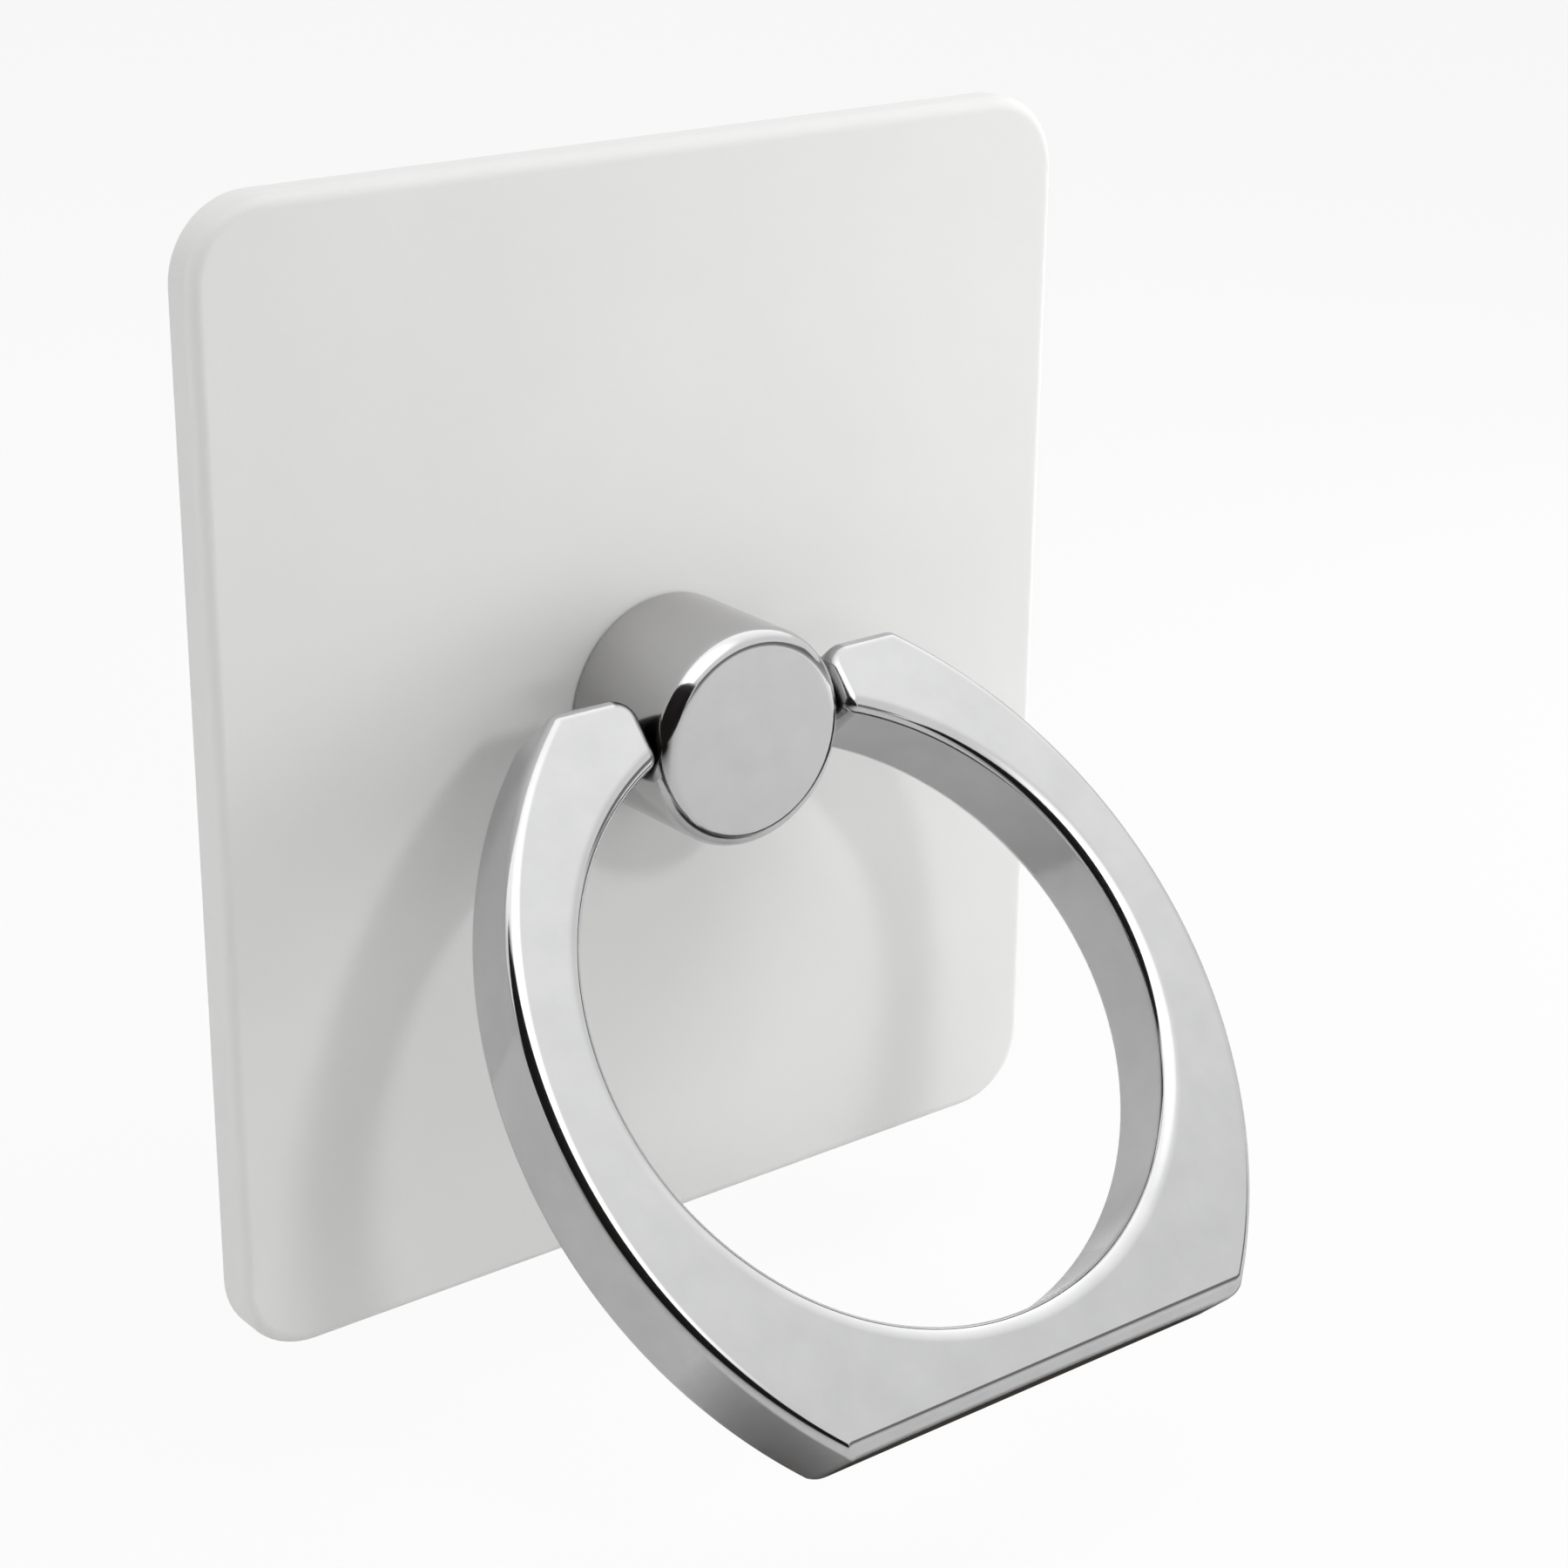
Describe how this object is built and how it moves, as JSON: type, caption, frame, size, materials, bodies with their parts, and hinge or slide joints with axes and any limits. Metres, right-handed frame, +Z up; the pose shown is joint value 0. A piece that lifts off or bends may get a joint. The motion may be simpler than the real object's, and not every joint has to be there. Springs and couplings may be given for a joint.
{
  "type": "phone ring holder",
  "caption": "Stick-on phone ring holder: flat rounded plate with an adhesive back, a turning metal post and a tilting finger ring with a flat foot.",
  "frame": {"origin": "centre of the adhesive face that meets the phone", "axes": "+X to the right and +Z up as seen from the front, -Y out of the plate's front"},
  "size_m": [0.035, 0.024, 0.0396],
  "materials": {
    "white_abs": "satin white moulding",
    "adhesive_foam": "matt foam with a tacky face",
    "chrome_post": "bright plating",
    "nylon": "natural, matt",
    "spring_steel": "blued spring strip",
    "washer_steel": "stamped, zinc plated",
    "screw_steel": "zinc plated",
    "chrome_ring": "bright plating"
  },
  "bodies": {
    "base": {"base_plate": "white_abs", "adhesive_pad": "adhesive_foam", "friction_washer": "nylon", "disc_spring": "spring_steel"},
    "swivel": {"swivel_post": "chrome_post", "retaining_washer": "washer_steel", "retaining_screw": "screw_steel"},
    "ring": {"finger_ring": "chrome_ring"}
  },
  "joints": [
    {"name": "swivel_turn", "type": "hinge", "parent": "base", "child": "swivel", "pos_m": [0, 0, 0.0005], "axis": [0, -1, 0], "continuous": true},
    {"name": "ring_tilt", "type": "hinge", "parent": "swivel", "child": "ring", "pos_m": [0, -0.0068, 0.0005], "axis": [-1, 0, 0], "range_deg": [-43, 137]}
  ]
}
